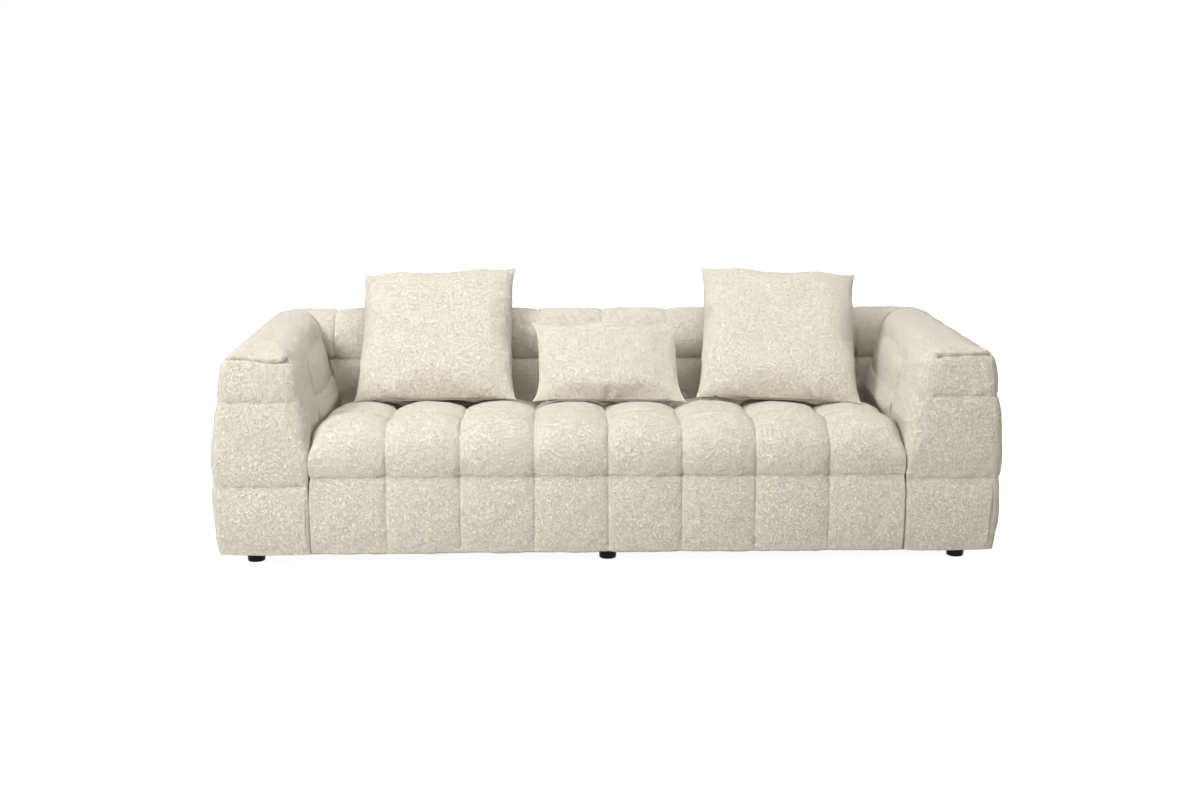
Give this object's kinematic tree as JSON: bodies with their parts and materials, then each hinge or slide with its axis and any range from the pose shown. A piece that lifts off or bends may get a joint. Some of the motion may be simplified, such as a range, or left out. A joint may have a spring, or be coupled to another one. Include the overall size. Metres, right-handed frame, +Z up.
{
  "type": "tuxedo sofa",
  "caption": "Three-seat sofa with arms and back of one height, quilted boucle cover in square panels, round black feet and loose scatter cushions.",
  "frame": {"origin": "on the floor under the middle of the sofa, from the soles of its feet", "axes": "+X runs along the sofa to the right of someone facing its front, +Y from its front to its back, +Z up"},
  "size_m": [2.4, 0.96, 0.7965],
  "materials": {
    "boucle": "cream boucle with nubby loops",
    "cushion_boucle": "cream boucle with nubby loops",
    "cushion_filling": "white fibre pad in a plain case",
    "zip_nylon": "cream nylon coil",
    "zip_metal": "cream paint",
    "dust_cloth": "black non-woven cloth",
    "black_foot": "matt black",
    "zinc_steel": "zinc plated",
    "foam": "open-cell polyurethane foam",
    "webbing": "woven elastic",
    "felt": "needled grey felt",
    "hardboard": "smooth brown hardboard",
    "plywood": "raw birch plywood",
    "hardwood": "raw planed hardwood"
  },
  "bodies": {
    "sofa": {"arm_bolts": "zinc_steel", "arm_left_cover": "boucle", "arm_left_foam": "foam", "arm_left_front_panel": "plywood", "arm_left_inner_board": "hardboard", "arm_left_outer_board": "hardboard", "arm_left_rails": "hardwood", "arm_left_rear_panel": "plywood", "arm_right_cover": "boucle", "arm_right_foam": "foam", "arm_right_front_panel": "plywood", "arm_right_inner_board": "hardboard", "arm_right_outer_board": "hardboard", "arm_right_rails": "hardwood", "arm_right_rear_panel": "plywood", "back_bolts": "zinc_steel", "back_bottom_rail": "hardwood", "back_cover": "boucle", "back_foam": "foam", "back_lower_rails": "hardwood", "back_outer_board": "hardboard", "back_posts": "hardwood", "back_rear_foam": "foam", "back_top_rail": "hardwood", "back_webbing": "webbing", "bolt_tee_nuts": "zinc_steel", "dust_cover": "dust_cloth", "foot_blocks": "hardwood", "foot_centre_front": "black_foot", "foot_centre_rear": "black_foot", "foot_front_left": "black_foot", "foot_front_right": "black_foot", "foot_rear_left": "black_foot", "foot_rear_right": "black_foot", "foot_studs": "zinc_steel", "foot_tee_nuts": "zinc_steel", "seat_corner_blocks": "hardwood", "seat_cover": "boucle", "seat_cross_rails": "hardwood", "seat_cross_webbing": "webbing", "seat_felt": "felt", "seat_foam": "foam", "seat_front_foam": "foam", "seat_front_rail": "hardwood", "seat_left_rail": "hardwood", "seat_rear_rail": "hardwood", "seat_right_rail": "hardwood", "seat_webbing": "webbing"},
    "cushion_left": {"cushion_left_cover": "cushion_boucle", "cushion_left_filling": "cushion_filling", "cushion_left_zip": "zip_nylon"},
    "zip_slider_left": {"cushion_left_zip_slider": "zip_metal"},
    "cushion_lumbar": {"cushion_lumbar_cover": "cushion_boucle", "cushion_lumbar_filling": "cushion_filling", "cushion_lumbar_zip": "zip_nylon"},
    "zip_slider_lumbar": {"cushion_lumbar_zip_slider": "zip_metal"},
    "cushion_right": {"cushion_right_cover": "cushion_boucle", "cushion_right_filling": "cushion_filling", "cushion_right_zip": "zip_nylon"},
    "zip_slider_right": {"cushion_right_zip_slider": "zip_metal"}
  },
  "joints": [
    {"name": "cushion_left_lift", "type": "slide", "parent": "sofa", "child": "cushion_left", "axis": [0, -0.6428, 0.766], "range_m": [0, 0.4]},
    {"name": "zip_left_run", "type": "slide", "parent": "cushion_left", "child": "zip_slider_left", "axis": [0.9998, 0.0128, 0.0119], "range_m": [0, 0.37]},
    {"name": "cushion_lumbar_lift", "type": "slide", "parent": "sofa", "child": "cushion_lumbar", "axis": [0, -0.6428, 0.766], "range_m": [0, 0.4]},
    {"name": "zip_lumbar_run", "type": "slide", "parent": "cushion_lumbar", "child": "zip_slider_lumbar", "axis": [0.9994, -0.0349, 0], "range_m": [0, 0.355]},
    {"name": "cushion_right_lift", "type": "slide", "parent": "sofa", "child": "cushion_right", "axis": [0, -0.6428, 0.766], "range_m": [0, 0.4]},
    {"name": "zip_right_run", "type": "slide", "parent": "cushion_right", "child": "zip_slider_right", "axis": [0.9855, -0.169, -0.0119], "range_m": [0, 0.37]}
  ]
}
